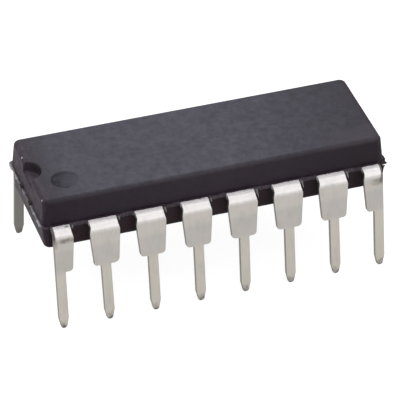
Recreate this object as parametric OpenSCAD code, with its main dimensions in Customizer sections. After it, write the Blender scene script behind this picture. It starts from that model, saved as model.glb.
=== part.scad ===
// Sixteen-pin dual in-line integrated circuit package, in millimetres.
// The package stands on its lead tips at z = 0, with X along its length, Y across the two rows
// and the notch at the -X end. Leads 1 to 8 run along the -Y side from the notch, and leads
// 9 to 16 run back along the +Y side.

/* [Moulded body] */
// Length of the body at its parting line
body_length = 19; // [18.6:0.1:20.4]
// Width of the body at its parting line
body_width = 6.4; // [6.1:0.05:7]
// Height of the body above the middle of the lead frame
upper_height = 1.58; // [1.3:0.02:2.2]
// Height of the body below the middle of the lead frame
lower_height = 1.49; // [1.1:0.02:2.2]
// Draft of the two long sides, in degrees
side_draft = 6; // [2:0.5:10]
// Draft of the two ends, in degrees
end_draft = 4; // [2:0.5:10]
// Radius of the rounded rim of the top and of the underside
edge_radius = 0.26; // [0.06:0.02:0.3]
// Radius of the four upright corners, seen from above
corner_radius = 0.38; // [0.32:0.02:0.8]

/* [Marks of the pin 1 end] */
// Radius of the half-round notch
notch_radius = 0.82; // [0.5:0.02:1]
// Depth of the notch below the top
notch_depth = 0.65; // [0.2:0.05:1]
// Diameter of the shallow round mark
mark_diameter = 1.42; // [0.6:0.02:1.8]
// Depth of the shallow round mark
mark_depth = 0.07; // [0.02:0.01:0.2]
// Distance from the end of the body to the middle of the mark
mark_from_end = 1.75; // [1.6:0.05:4]
// Distance from the front side of the body to the middle of the mark
mark_from_side = 1.8; // [1.3:0.05:2]

/* [Mould flash] */
// How far the flash stands out of the two ends
end_flash = 0.15; // [0.06:0.01:0.25]
// Thickness of the flash on the two ends
end_flash_thickness = 0.14; // [0.08:0.02:0.24]
// How far the flash stands out of the sides between the leads
side_flash = 0.12; // [0.05:0.01:0.18]

/* [Leads] */
// Spacing of the leads along a row
lead_pitch = 2.54; // [2.5:0.01:2.6]
// Thickness of the lead frame strip
frame_thickness = 0.25; // [0.2:0.01:0.3]
// Distance from the side of the body to the outer face of a lead below its bend
lead_reach = 0.73; // [0.7:0.01:1.1]
// Inner radius of the bend
bend_radius = 0.23; // [0.12:0.01:0.25]
// Outward lean of the legs, in degrees
lead_splay = 7; // [0:0.5:10]
// Width of a lead where it leaves the body
exit_width = 1.54; // [1.2:0.01:1.56]
// Greatest width of a lead, below its bend
shoulder_width = 1.67; // [1.6:0.01:1.9]
// Width of the shoulder at its foot
foot_width = 1.39; // [1.1:0.01:1.5]
// Radius of the lower corners of the shoulder
foot_radius = 0.22; // [0.1:0.01:0.26]
// Width of a leg
leg_width = 0.54; // [0.4:0.01:0.56]
// Length of a leg below its shoulder
leg_length = 3.38; // [2.9:0.02:3.8]
// Length of the tapered end of a leg
tip_length = 0.6; // [0.3:0.02:1]
// Diameter of the rounding at the very end of a leg
tip_width = 0.34; // [0.1:0.02:0.38]
// Height of the underside of the body above the feet of the shoulders
standoff = 0.85; // [0.4:0.05:1.1]

/* [Lead frame inside the body] */
// Length of the die pad
pad_length = 4.6; // [4:0.1:5.2]
// Width of the die pad
pad_width = 3.2; // [2.9:0.05:3.3]
// How far the die pad lies below the rest of the frame
pad_downset = 0.2; // [0.1:0.02:0.3]
// Width of the bar that carries the die pad
spine_width = 0.4; // [0.3:0.02:0.5]
// Width of each tie bar at the ends of the body
tie_width = 0.3; // [0.2:0.02:0.4]
// Distance between the two tie bars at one end
tie_spacing = 1.6; // [1.2:0.05:1.8]
// Depth to which the full width of a lead runs into the body
root_depth = 0.7; // [0.5:0.05:0.75]
// Width of the inner fingers
finger_width = 0.4; // [0.3:0.01:0.44]
// Gap between the fingers, the die pad and its bar
finger_gap = 0.25; // [0.15:0.01:0.28]

/* [Die and wires] */
// Length of the silicon die
die_length = 2.6; // [2:0.1:3.4]
// Width of the silicon die
die_width = 1.8; // [1.5:0.1:2.4]
// Thickness of the silicon die
die_thickness = 0.3; // [0.2:0.01:0.4]
// Thickness of the adhesive under the die
adhesive_thickness = 0.03; // [0.02:0.01:0.06]
// How far the adhesive spreads beyond the die
adhesive_spread = 0.06; // [0.02:0.01:0.12]
// Diameter of the bond wires
wire_diameter = 0.03; // [0.02:0.005:0.05]
// Diameter of the ball at the die end of a wire
ball_diameter = 0.08; // [0.06:0.005:0.1]
// Height of a wire loop above the die
loop_height = 0.2; // [0.12:0.02:0.35]
// Distance of the wires' feet from the rim of the die
bond_inset = 0.12; // [0.08:0.01:0.2]

/* [Hidden] */
leads_per_row = 8;
lead_count = 2 * leads_per_row;

// Heights above the lead tips
foot_z = leg_length;
body_bottom = foot_z + standoff;
frame_z = body_bottom + lower_height;
body_top = frame_z + upper_height;
frame_top = frame_z + frame_thickness / 2;
frame_bottom = frame_z - frame_thickness / 2;
pad_top = frame_top - pad_downset;
die_bottom = pad_top + adhesive_thickness;
die_top = die_bottom + die_thickness;

// The bend, in the plane across a row: u runs outwards from the middle of the package
body_side = body_width / 2;
bend_outer = bend_radius + frame_thickness;
bend_u = body_side + lead_reach - bend_outer / cos(lead_splay);
bend_z = frame_bottom - bend_radius;
root_u = body_side - root_depth;

// The flash along the sides stops at the middle of the end leads
side_flash_from_end = 0.61;

// Plan of the die pad with its bar and its forked ties
tie_end_x = body_length / 2 + end_flash;
fork_from_end = 1.6;
fork_x = body_length / 2 - fork_from_end;
fork_tip_x = fork_x - tie_spacing / 2;
ramp_from_pad = 0.1;
ramp_run = 0.4;
ramp_start = pad_length / 2 + ramp_from_pad;

// Plan of the fingers: they end at a window that is kept clear round the die pad
window_x = pad_length / 2 + finger_gap;
window_u = pad_width / 2 + finger_gap;
finger_root_width = 2 * finger_width;
finger_step = finger_width + finger_gap;
inner_tip_u = (spine_width + finger_width) / 2 + finger_gap;
side_tip_x = [0.25, 0.6] * lead_pitch;
end_root_shift = (exit_width - leg_width) / 4;
elbow_share = 0.46;
elbow_drop = 0.3;
elbow_u = root_u - elbow_share * (root_u - window_u);

// Spacing of the wires' feet along the side and along the end of the die
bond_step_x = die_length / 4;
bond_step_y = die_width / 5;
wire_rise_share = 0.3;

// How far cutting shapes reach past what they cut, and how far joined shapes overlap
cut = 0.5;
lap = 0.1;

// Smoothness of the curves
bend_steps = 10;
corner_steps = 6;
mark_facets = 64;
wire_sides = 6;
wire_steps = 4;

resin = [0.20, 0.19, 0.21];
tin = [0.74, 0.73, 0.70];
copper = [0.80, 0.52, 0.36];
silver_glue = [0.72, 0.72, 0.74];
silicon = [0.33, 0.36, 0.45];
gold = [0.90, 0.72, 0.30];

// A lead's side is -1 on the front row and +1 on the back row, its rank counts outwards from the
// middle of the row, and its end is -1 towards the notch and +1 away from it.
function row_of(i) = i <= leads_per_row ? -1 : 1;
function lead_x(i) = (i <= leads_per_row ? i - (leads_per_row + 1) / 2
                                         : 3 * leads_per_row / 2 + 1 / 2 - i) * lead_pitch;
function end_of(i) = lead_x(i) < 0 ? -1 : 1;
function rank_of(i) = round(abs(lead_x(i)) / lead_pitch + 1 / 2);
function is_end_lead(i) = rank_of(i) == leads_per_row / 2;

function arc(centre, radius, from, to, steps) =
    [for (k = [0:steps])
        let (a = from + (to - from) * k / steps)
        centre + radius * [cos(a), sin(a)]];

function unit(v) = v / norm(v);

function flip(points) = [for (k = [len(points) - 1:-1:0]) [-points[k].x, points[k].y]];

// Outline of a strip that follows a path, with a width at each of its points
function strip_normal(path, k) =
    let (d = unit(path[min(k + 1, len(path) - 1)] - path[max(k - 1, 0)]))
    [-d.y, d.x];
function strip(path, widths) =
    let (last = len(path) - 1)
    concat(
        [for (k = [0:last]) path[k] - strip_normal(path, k) * widths[k] / 2],
        [for (k = [last:-1:0]) path[k] + strip_normal(path, k) * widths[k] / 2]
    );

// Outline of a lead seen from the front, with x measured from the middle of its leg
function shoulder_edge() = concat(
    [
        [exit_width / 2, frame_top + cut],
        [exit_width / 2, frame_top - bend_outer / 2],
        [shoulder_width / 2, bend_z]
    ],
    arc([foot_width / 2 - foot_radius, foot_z + foot_radius], foot_radius, 0, -90, corner_steps),
    [[leg_width / 2, foot_z]]
);
function straight_edge() = [[leg_width / 2, frame_top + cut]];
// A straight taper that meets the round end on its tangent, without the lowest point
function tip_edge() =
    let (
        radius = tip_width / 2,
        corner = [leg_width / 2, tip_length - radius],
        tangent = atan2(corner.y, corner.x) - acos(radius / norm(corner)),
        round_end = arc([0, radius], radius, tangent, -90, corner_steps)
    ) concat(
        [[leg_width / 2, tip_length]],
        [for (k = [0:corner_steps - 1]) round_end[k]]
    );
function lead_outline(i) = concat(
    is_end_lead(i) ? straight_edge() : shoulder_edge(),
    tip_edge(),
    [[0, 0]],
    flip(concat(shoulder_edge(), tip_edge()))
);

// Section of the bent strip in the plane across the row, from the bend to below the tips
function bend_section() =
    let (
        lean = [sin(lead_splay), -cos(lead_splay)],
        out = [cos(lead_splay), sin(lead_splay)],
        centre = [bend_u, bend_z],
        run = (bend_z + cut) / cos(lead_splay)
    ) concat(
        [[bend_u - lap, frame_top]],
        arc(centre, bend_outer, 90, lead_splay, bend_steps),
        [centre + bend_outer * out + run * lean],
        [centre + bend_radius * out + run * lean],
        arc(centre, bend_radius, lead_splay, 90, bend_steps),
        [[bend_u - lap, frame_bottom]]
    );

// Middle line of the inner finger of a lead, in the quadrant of the +X end and the +Y row, from
// its root to a point inside the clearance window round the die pad
function finger_path(rank) =
    let (
        x = (rank - 1 / 2) * lead_pitch,
        end_x = x - end_root_shift
    )
    rank <= 2 ? [[x, root_u + lap], [x, elbow_u], [side_tip_x[rank - 1], pad_width / 2]] :
    rank == 3 ? [[x, root_u + lap], [x, elbow_u - elbow_drop],
                 [pad_length / 2, inner_tip_u + finger_step]] :
                [[end_x, root_u + lap], [end_x, elbow_u],
                 [fork_x + lap, tie_spacing / 2 + finger_step + lap],
                 [fork_tip_x - spine_width, inner_tip_u],
                 [pad_length / 2, inner_tip_u]];
function finger_widths(rank) =
    [for (k = [1:len(finger_path(rank))]) k == 1 ? finger_root_width : finger_width];

// Where a wire meets its finger: on the middle line of the finger's last stretch
function wire_foot(rank) =
    let (
        path = finger_path(rank),
        tip = path[len(path) - 1],
        back = path[len(path) - 2] - tip,
        along_row = rank > 2,
        goal = along_row ? window_x + finger_width / 2 - tip.x : window_u + finger_width / 4 - tip.y
    ) tip + back * goal / (along_row ? back.x : back.y);

// Where a wire leaves the die
function wire_head(rank) =
    rank <= 2 ? [(rank - 1 / 2) * bond_step_x, die_width / 2 - bond_inset]
              : [die_length / 2 - bond_inset, ((leads_per_row + 1) / 2 - rank) * bond_step_y];

// Path of a wire in its own upright plane: a ball on the die, a quarter ellipse up and one down
function wire_path(span) =
    let (
        rise = span * wire_rise_share,
        neck_z = die_top + wire_diameter,
        peak_z = die_top + loop_height,
        turns = [for (k = [0:wire_steps]) 90 * k / wire_steps]
    ) concat(
        [[0, die_top], [0, die_top + wire_diameter / 2]],
        [for (a = turns) [rise * (1 - cos(a)), neck_z + (peak_z - neck_z) * sin(a)]],
        [for (a = turns) if (a > 0)
            [rise + (span - rise) * sin(a), frame_top + (peak_z - frame_top) * cos(a)]]
    );

// Ring of points square to the path at its point k; the first three rings and the last are level
function wire_ring(path, k) =
    let (
        last = len(path) - 1,
        d = k < 3 ? [0, 1] : k == last ? [0, -1] : unit(path[k + 1] - path[k - 1]),
        radius = (k < 2 ? ball_diameter : wire_diameter) / 2
    ) [for (s = [0:wire_sides - 1])
        let (
            a = 360 * s / wire_sides,
            tilt = radius * cos(a)
        ) [path[k].x + tilt * d.y, radius * sin(a), path[k].y - tilt * d.x]];

// Faces of a solid that is stacked from rings with the same number of points, closed at both ends
function stack_faces(rings, sides) = concat(
    [[for (s = [0:sides - 1]) s]],
    [[for (s = [sides - 1:-1:0]) (rings - 1) * sides + s]],
    [for (k = [0:rings - 2], s = [0:sides - 1], half = [0, 1])
        let (a = k * sides + s, b = k * sides + (s + 1) % sides)
        half == 0 ? [a, a + sides, b] : [b, a + sides, b + sides]]
);

// Carries a shape from the quadrant of the +X end and the +Y row to the quadrant of lead i
module to_quadrant(i) {
    if (row_of(i) < 0) mirror([0, 1, 0]) to_end(i) children();
    else to_end(i) children();
}

module to_end(i) {
    if (end_of(i) < 0) mirror([1, 0, 0]) children();
    else children();
}

// Outline of a rectangle with rounded corners
function rounded_outline(length, width, radius) =
    let (x = length / 2 - radius, y = width / 2 - radius)
    concat(
        arc([x, y], radius, 0, 90, corner_steps),
        arc([-x, y], radius, 90, 180, corner_steps),
        arc([-x, -y], radius, 180, 270, corner_steps),
        arc([x, -y], radius, 270, 360, corner_steps)
    );

// Rings of one half of the moulding, from the edge of the frame out to its rounded rim, with
// heights measured from the middle of the frame
function half_rings(height) =
    let (
        wall = height - edge_radius,
        rim = [for (k = [0:corner_steps]) 90 * k / corner_steps]
    ) concat(
        [body_ring(frame_thickness / 2, 0, 0)],
        [for (a = rim) body_ring(wall + edge_radius * sin(a), wall, edge_radius * (1 - cos(a)))]
    );
function body_ring(z, wall, rim_inset) =
    let (
        length = body_length - 2 * (wall * tan(end_draft) + rim_inset),
        width = body_width - 2 * (wall * tan(side_draft) + rim_inset)
    ) [for (p = rounded_outline(length, width, corner_radius - rim_inset)) [p.x, p.y, z]];
function upside_down(rings) =
    [for (k = [len(rings) - 1:-1:0]) [for (p = rings[k]) [p.x, p.y, -p.z]]];

module stacked(rings) {
    polyhedron([for (ring = rings) each ring], stack_faces(len(rings), len(rings[0])));
}

module moulding() {
    side_flash_length = body_length - 2 * side_flash_from_end;
    translate([0, 0, frame_z])
        stacked(concat(upside_down(half_rings(lower_height)), half_rings(upper_height)));
    translate([0, 0, frame_z - end_flash_thickness / 2])
        linear_extrude(end_flash_thickness)
            polygon(rounded_outline(body_length + 2 * end_flash, body_width, corner_radius));
    translate([-side_flash_length / 2, -body_side - side_flash, frame_bottom])
        cube([side_flash_length, body_width + 2 * side_flash, frame_thickness]);
}

module pin_one_notch() {
    translate([-body_length / 2, 0, body_top - notch_depth])
        cylinder(r = notch_radius, h = notch_depth + cut, $fn = mark_facets);
}

module round_mark() {
    translate([mark_from_end - body_length / 2, mark_from_side - body_side, body_top - mark_depth])
        cylinder(d = mark_diameter, h = mark_depth + cut, $fn = mark_facets);
}

// The flat part of a lead: its root at the side of the body and its inner finger
module flat_plan(i) {
    rank = rank_of(i);
    x = (rank - 1 / 2) * lead_pitch;
    outer_half = is_end_lead(i) ? leg_width / 2 : exit_width / 2;
    difference() {
        union() {
            translate([x - exit_width / 2, root_u])
                square([exit_width / 2 + outer_half, bend_u - root_u]);
            polygon(strip(finger_path(rank), finger_widths(rank)));
        }
        square([2 * window_x, 2 * window_u], center = true);
    }
}

module flat_part(i) {
    translate([0, 0, frame_bottom])
        linear_extrude(frame_thickness) flat_plan(i);
}

module bent_part(i) {
    reach = bend_u + bend_outer + tan(lead_splay) * (bend_z + cut) + cut;
    intersection() {
        translate([(rank_of(i) - 1 / 2) * lead_pitch, reach, 0])
            rotate([90, 0, 0])
                linear_extrude(reach) polygon(lead_outline(i));
        rotate([90, 0, 90])
            linear_extrude(body_length) polygon(bend_section());
    }
}

// The die pad, the bar that carries it and the two forked tie bars at its ends
module pad_plan() {
    y = tie_spacing / 2;
    square([pad_length, pad_width], center = true);
    square([2 * fork_tip_x, spine_width], center = true);
    for (s = [-1, 1])
        polygon(strip(
            [[s * tie_end_x, y], [s * fork_x, y], [s * fork_tip_x, 0], [s * fork_x, -y],
             [s * tie_end_x, -y]],
            [for (k = [1:5]) tie_width]
        ));
}

module pad_solid() {
    down = [0, frame_thickness];
    ramp = ramp_start + ramp_run;
    upper = [[ramp_start, pad_top], [ramp, frame_top], [tie_end_x + cut, frame_top]];
    right = concat([for (p = upper) p], [for (k = [2:-1:0]) upper[k] - down]);
    intersection() {
        translate([0, 0, pad_top - frame_thickness - lap])
            linear_extrude(pad_downset + frame_thickness + 2 * lap) pad_plan();
        translate([0, pad_width, 0])
            rotate([90, 0, 0])
                linear_extrude(2 * pad_width) polygon(concat(right, flip(right)));
    }
}

module attach_solid() {
    length = die_length + 2 * adhesive_spread;
    width = die_width + 2 * adhesive_spread;
    translate([-length / 2, -width / 2, pad_top]) cube([length, width, adhesive_thickness]);
}

module die_solid() {
    translate([-die_length / 2, -die_width / 2, die_bottom])
        cube([die_length, die_width, die_thickness]);
}

module wire_solid(i) {
    head = wire_head(rank_of(i));
    way = wire_foot(rank_of(i)) - head;
    path = wire_path(norm(way));
    rings = [for (k = [0:len(path) - 1]) wire_ring(path, k)];
    to_quadrant(i)
        translate(head)
            rotate([0, 0, atan2(way.y, way.x)])
                stacked(rings);
}

module package_body() {
    color(resin)
        difference() {
            moulding();
            pin_one_notch();
            round_mark();
            for (i = [1:lead_count]) to_quadrant(i) flat_part(i);
            pad_solid();
            attach_solid();
            die_solid();
            for (i = [1:lead_count]) wire_solid(i);
        }
}

module lead(i) {
    color(tin)
        to_quadrant(i) {
            flat_part(i);
            bent_part(i);
        }
}

module die_pad() {
    color(copper) pad_solid();
}

module die_attach() {
    color(silver_glue) attach_solid();
}

module silicon_die() {
    color(silicon) die_solid();
}

module bond_wire(i) {
    color(gold) wire_solid(i);
}

package_body();
for (i = [1:lead_count]) lead(i);
die_pad();
die_attach();
silicon_die();
for (i = [1:lead_count]) bond_wire(i);
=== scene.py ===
"""Sixteen-pin dual in-line chip: dark moulded package, tinned leads, studio floor and lights."""
import math

import bmesh
import bpy
from mathutils import Matrix, Vector, noise


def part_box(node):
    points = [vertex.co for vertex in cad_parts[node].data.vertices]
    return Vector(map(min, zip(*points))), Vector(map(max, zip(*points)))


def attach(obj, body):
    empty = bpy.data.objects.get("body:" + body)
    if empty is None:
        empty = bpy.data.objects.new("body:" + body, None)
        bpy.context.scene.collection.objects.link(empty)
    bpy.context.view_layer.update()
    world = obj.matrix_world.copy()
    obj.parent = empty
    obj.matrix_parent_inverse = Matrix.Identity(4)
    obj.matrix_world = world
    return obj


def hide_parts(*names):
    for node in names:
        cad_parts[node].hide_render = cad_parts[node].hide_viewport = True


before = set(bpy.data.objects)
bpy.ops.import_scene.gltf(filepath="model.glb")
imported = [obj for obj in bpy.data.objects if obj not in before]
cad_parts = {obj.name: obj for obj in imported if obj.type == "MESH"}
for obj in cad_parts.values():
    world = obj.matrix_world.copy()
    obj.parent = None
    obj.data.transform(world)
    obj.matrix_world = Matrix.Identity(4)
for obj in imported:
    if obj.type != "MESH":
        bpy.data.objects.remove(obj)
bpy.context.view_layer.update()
MM = 0.001

# Sizes in millimetres, the same as in the part's source
BODY_LENGTH = 19.0
BODY_WIDTH = 6.4
SIDE_DRAFT = math.radians(6)
END_DRAFT = math.radians(4)
RIM_RADIUS = 0.26
CORNER_RADIUS = 0.38
NOTCH_RADIUS = 0.82
NOTCH_DEPTH = 0.65
NOTCH_FLOOR_FILLET = 0.12
NOTCH_RIM_FILLET = 0.1
MARK_RADIUS = 0.71
MARK_DEPTH = 0.07
MARK_SLOPE = 0.15
MARK_FROM_END = 1.75
MARK_FROM_SIDE = 1.8
END_FLASH = 0.15
SIDE_FLASH = 0.12
LEAD_PITCH = 2.54
LEADS_PER_ROW = 8
THICKNESS = 0.25
LEAD_REACH = 0.73
BEND_RADIUS = 0.23
SPLAY = math.radians(7)
EXIT_WIDTH = 1.54
SHOULDER_WIDTH = 1.67
FOOT_WIDTH = 1.39
FOOT_RADIUS = 0.22
LEG_WIDTH = 0.54
LEG_LENGTH = 3.38
TIP_LENGTH = 0.6
TIP_WIDTH = 0.34
PAD_LENGTH = 4.6
PAD_WIDTH = 3.2
SPINE_WIDTH = 0.4
TIE_SPACING = 1.6
FORK_FROM_END = 1.6
ROOT_DEPTH = 0.7
FINGER_WIDTH = 0.4
FINGER_GAP = 0.25
ELBOW_SHARE = 0.46
ELBOW_DROP = 0.3
SIDE_TIP_X = (0.25 * LEAD_PITCH, 0.6 * LEAD_PITCH)
LAP = 0.1

# Heights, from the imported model
BODY_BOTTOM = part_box("package_body")[0].z / MM
BODY_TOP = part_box("package_body")[1].z / MM
FRAME_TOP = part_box("lead_1")[1].z / MM
FRAME_Z = FRAME_TOP - THICKNESS / 2

# The body's front and back sides, and the middle of the round mark
BODY_SIDE = BODY_WIDTH / 2
MARK_X = MARK_FROM_END - BODY_LENGTH / 2
MARK_Y = MARK_FROM_SIDE - BODY_SIDE

# Where the strip bends, in the plane across a row
BEND_OUTER = BEND_RADIUS + THICKNESS
BEND_MID = BEND_RADIUS + THICKNESS / 2
BEND_U = BODY_SIDE + LEAD_REACH - BEND_OUTER / math.cos(SPLAY)
BEND_Z = FRAME_Z - THICKNESS / 2 - BEND_RADIUS
BEND_RUN = BEND_MID * (math.pi / 2 - SPLAY)
LOWEST = THICKNESS / 2 * math.sin(SPLAY)
ROOT_U = BODY_SIDE - ROOT_DEPTH
WINDOW_X = PAD_LENGTH / 2 + FINGER_GAP
WINDOW_U = PAD_WIDTH / 2 + FINGER_GAP

# The photograph's camera, in millimetres, degrees and pixels
CAMERA_AT = (-47.28, -147.28, 115.64)
CAMERA_AZIMUTH = 17.849
CAMERA_ELEVATION = 36.005
CAMERA_ROLL = -0.29
FOCAL_PIXELS = 3541.36
IMAGE_PIXELS = 400
SENSOR_MM = 36.0
MOVED_RIGHT = 0.19


# Meshes

def to_object(name, bm, material):
    """A new object from a mesh in millimetres."""
    bmesh.ops.recalc_face_normals(bm, faces=bm.faces)
    bmesh.ops.scale(bm, vec=(MM, MM, MM), verts=bm.verts)
    mesh = bpy.data.meshes.new(name)
    bm.to_mesh(mesh)
    bm.free()
    obj = bpy.data.objects.new(name, mesh)
    bpy.context.scene.collection.objects.link(obj)
    mesh.materials.append(material)
    return obj


def smooth(obj, sharp_degrees):
    """Smooth shading that stays flat on flat faces and breaks at sharp edges."""
    obj.data.polygons.foreach_set("use_smooth", [True] * len(obj.data.polygons))
    obj.data.set_sharp_from_angle(angle=math.radians(sharp_degrees))
    weights = obj.modifiers.new("weights", "WEIGHTED_NORMAL")
    weights.keep_sharp = True


def belongs(obj, slot, *nodes):
    """The piece rides on the part and stands for the nodes, which it hides; the slot is not used."""
    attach(obj, "root")
    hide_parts(*nodes)


def loft(rings):
    """A closed mesh through rings that have the same number of points."""
    bm = bmesh.new()
    rows = [[bm.verts.new(p) for p in ring] for ring in rings]
    count = len(rows[0])
    for low, high in zip(rows, rows[1:]):
        for k in range(count):
            bm.faces.new((low[k], low[(k + 1) % count], high[(k + 1) % count], high[k]))
    bm.faces.new(list(reversed(rows[0])))
    bm.faces.new(rows[-1])
    return bm


def lathe(profile, centre, segments=96):
    """A closed solid turned round the Z axis through centre, from a profile of (radius, z)."""
    turns = [2 * math.pi * k / segments for k in range(segments)]
    x, y = centre
    rings = []
    for radius, z in profile:
        rings.append([(x + radius * math.cos(a), y + radius * math.sin(a), z) for a in turns])
    return loft(rings)


def arc(centre, radius, start, end, steps):
    """Points on an arc, with its angles in degrees."""
    angles = [math.radians(start + (end - start) * k / steps) for k in range(steps + 1)]
    return [(centre[0] + radius * math.cos(a), centre[1] + radius * math.sin(a)) for a in angles]


def cut(obj, cutter):
    """Takes the cutter out of the object and deletes the cutter."""
    step = obj.modifiers.new("cut", "BOOLEAN")
    step.operation = "DIFFERENCE"
    step.solver = "EXACT"
    step.object = cutter
    depsgraph = bpy.context.evaluated_depsgraph_get()
    result = bpy.data.meshes.new_from_object(obj.evaluated_get(depsgraph))
    obj.modifiers.clear()
    obj.data = result
    bpy.data.objects.remove(cutter)


def rough(x, y, amount, scale, seed):
    """Noise about zero at a place, for ragged edges."""
    return amount * noise.noise(Vector((x * scale, y * scale, seed)))


def hill(x, at, width):
    """1 at a place, falling smoothly to 0 on both sides of it."""
    return math.exp(-((x - at) / width) ** 2)


def held(share):
    """The share, kept between 0 and 1."""
    return min(max(share, 0), 1)


# The moulded body

# How far the cutters rise above the top, and the radius of the hole left at their axis
CUTTER_ABOVE = 0.4
AXIS_HOLE = 0.01

# Rings on the drafted wall of one half of the body, and over its rounded rim
WALL_RINGS = 4
RIM_RINGS = 8


def rounded_outline(length, width, radius, steps=10):
    """A rectangle with round corners, as points in plan."""
    x, y = length / 2 - radius, width / 2 - radius
    return (
        arc((x, y), radius, 0, 90, steps)
        + arc((-x, y), radius, 90, 180, steps)
        + arc((-x, -y), radius, 180, 270, steps)
        + arc((x, -y), radius, 270, 360, steps)
    )


def body_ring(z, rim_inset, wall):
    """The body's outline at a height, with wall as the height of drafted wall below it."""
    length = BODY_LENGTH - 2 * (wall * math.tan(END_DRAFT) + rim_inset)
    width = BODY_WIDTH - 2 * (wall * math.tan(SIDE_DRAFT) + rim_inset)
    return [(x, y, z) for x, y in rounded_outline(length, width, CORNER_RADIUS - rim_inset)]


def half_rings(height, direction):
    """Rings of one half, from the parting plane to the rim."""
    wall = height - RIM_RADIUS
    rings = []
    for k in range(WALL_RINGS):
        rise = wall * k / WALL_RINGS
        rings.append(body_ring(FRAME_Z + direction * rise, 0, rise))
    for k in range(RIM_RINGS + 1):
        a = math.pi / 2 * k / RIM_RINGS
        z = FRAME_Z + direction * (wall + RIM_RADIUS * math.sin(a))
        rings.append(body_ring(z, RIM_RADIUS * (1 - math.cos(a)), wall))
    return rings


def cutter_profile(depth, wall, flare=0.0):
    """The profile of a round cutter: its floor, its wall and a flat top above the body."""
    outer = wall[-1][0] + flare
    above = BODY_TOP + CUTTER_ABOVE
    return [(AXIS_HOLE, BODY_TOP - depth)] + wall + [(outer, above), (AXIS_HOLE, above)]


def notch_profile(steps=5):
    """A round pocket with a filleted floor and a rounded rim."""
    floor = BODY_TOP - NOTCH_DEPTH
    low = (NOTCH_RADIUS - NOTCH_FLOOR_FILLET, floor + NOTCH_FLOOR_FILLET)
    high = (NOTCH_RADIUS + NOTCH_RIM_FILLET, BODY_TOP - NOTCH_RIM_FILLET)
    wall = arc(low, NOTCH_FLOOR_FILLET, -90, 0, steps) + arc(high, NOTCH_RIM_FILLET, 180, 90, steps)
    return cutter_profile(NOTCH_DEPTH, wall)


def mark_profile(steps=8):
    """A shallow round dish, with a wall that slopes in and out again."""
    wall = []
    for k in range(steps + 1):
        rise = MARK_DEPTH * (1 - math.cos(math.pi * k / steps)) / 2
        wall.append((MARK_RADIUS + MARK_SLOPE * (k / steps - 0.5), BODY_TOP - MARK_DEPTH + rise))
    return cutter_profile(MARK_DEPTH, wall, flare=0.001)


def make_body(material):
    """The moulded block, with its notch and its round mark."""
    upper = half_rings(BODY_TOP - FRAME_Z, 1)
    lower = half_rings(FRAME_Z - BODY_BOTTOM, -1)
    body = to_object("moulded_body", loft(list(reversed(lower))[:-1] + upper), material)
    notch = lathe(notch_profile(), (-BODY_LENGTH / 2, 0))
    cut(body, to_object("notch_cutter", notch, material))
    mark = lathe(mark_profile(), (MARK_X, MARK_Y))
    cut(body, to_object("mark_cutter", mark, material))
    smooth(body, 32)
    belongs(body, "resin", "package_body")


# The flash at the parting plane

# Bulges of the flash at each end, as (y, extra reach, width, droop), and the width of a droop
NOTCH_END_BULGES = ((3.05, 0.1, 0.25, 0), (-2.95, 0.05, 0.2, 0))
FAR_END_BULGES = ((-3.02, 0.165, 0.07, 0.08), (2.9, 0.03, 0.3, 0))
DROOP_WIDTH = 0.15

# Half the thickness of the end flash, its least share of reach, and how deep the flash is rooted
END_FLASH_HALF = 0.07
LEAST_REACH = 0.12
END_FLASH_ROOT = 0.15
SIDE_FLASH_ROOT = 0.2

# A flake of torn flash under the front corner of the far end, as (x, z), and its y and thickness
FLAKE = ((9.16, 5.6), (9.56, 5.5), (9.49, 5.32), (9.43, 4.86), (9.36, 4.84), (9.18, 5.16))
FLAKE_Y = -3.1
FLAKE_THICKNESS = 0.07

# Between two leads: the fin along the bend of one, its place and width, and the stub by the other.
# The web is thinner than the strip by the slack on each side
FIN_REACH = 0.4
FIN_AT = 0.13
FIN_WIDTH = 0.05
STUB_REACH = 0.12
WEB_SLACK = 0.02
WEB_STEPS = 44


def end_path(steps=80):
    """The outline round the end at +X, from just behind one corner to just behind the other."""
    x, y = BODY_LENGTH / 2 - CORNER_RADIUS, BODY_SIDE - CORNER_RADIUS
    side = [(x - 0.1 * k, -BODY_SIDE) for k in range(3, 0, -1)]
    path = side + arc((x, -y), CORNER_RADIUS, -90, 0, 10)
    path += [(BODY_LENGTH / 2, -y + 2 * y * k / steps) for k in range(1, steps)]
    path += arc((x, y), CORNER_RADIUS, 0, 90, 10) + [(px, -py) for px, py in reversed(side)]
    return path


def make_end_flash(name, end, bulges, seed, material):
    """The thin, uneven ledge round one end."""
    path = end_path()
    rings = []
    for k, (px, py) in enumerate(path):
        before, after = path[max(k - 1, 0)], path[min(k + 1, len(path) - 1)]
        along = Vector((after[0] - before[0], after[1] - before[1])).normalized()
        out = Vector((along.y, -along.x))
        ragged = 0.85 + rough(px, py, 0.5, 2.1, seed) + rough(px, py, 0.35, 7.3, seed + 3)
        reach = END_FLASH * max(out.x, LEAST_REACH) * ragged
        reach += sum(extra * hill(py, at, width) for at, extra, width, droop in bulges)
        half = END_FLASH_HALF + rough(px, py, 0.02, 5.0, seed + 9)
        half *= min(1, 1.5 * END_FLASH / (END_FLASH + reach))
        lift = rough(px, py, 0.03, 1.1, seed + 5)
        lift -= sum(droop * hill(py, at, DROOP_WIDTH) for at, extra, width, droop in bulges)
        section = [
            (-END_FLASH_ROOT, half),
            (reach * 0.8, half * 0.9 + lift),
            (reach, half * 0.3 + lift),
            (reach * 0.97, lift - half * 0.3),
            (reach * 0.75, lift - half * 0.8),
            (-END_FLASH_ROOT, -half),
        ]
        rings.append([(end * (px + out.x * w), py + out.y * w, FRAME_Z + h) for w, h in section])
    flash = to_object(name, loft(rings), material)
    smooth(flash, 50)
    belongs(flash, "resin", "package_body")


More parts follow.
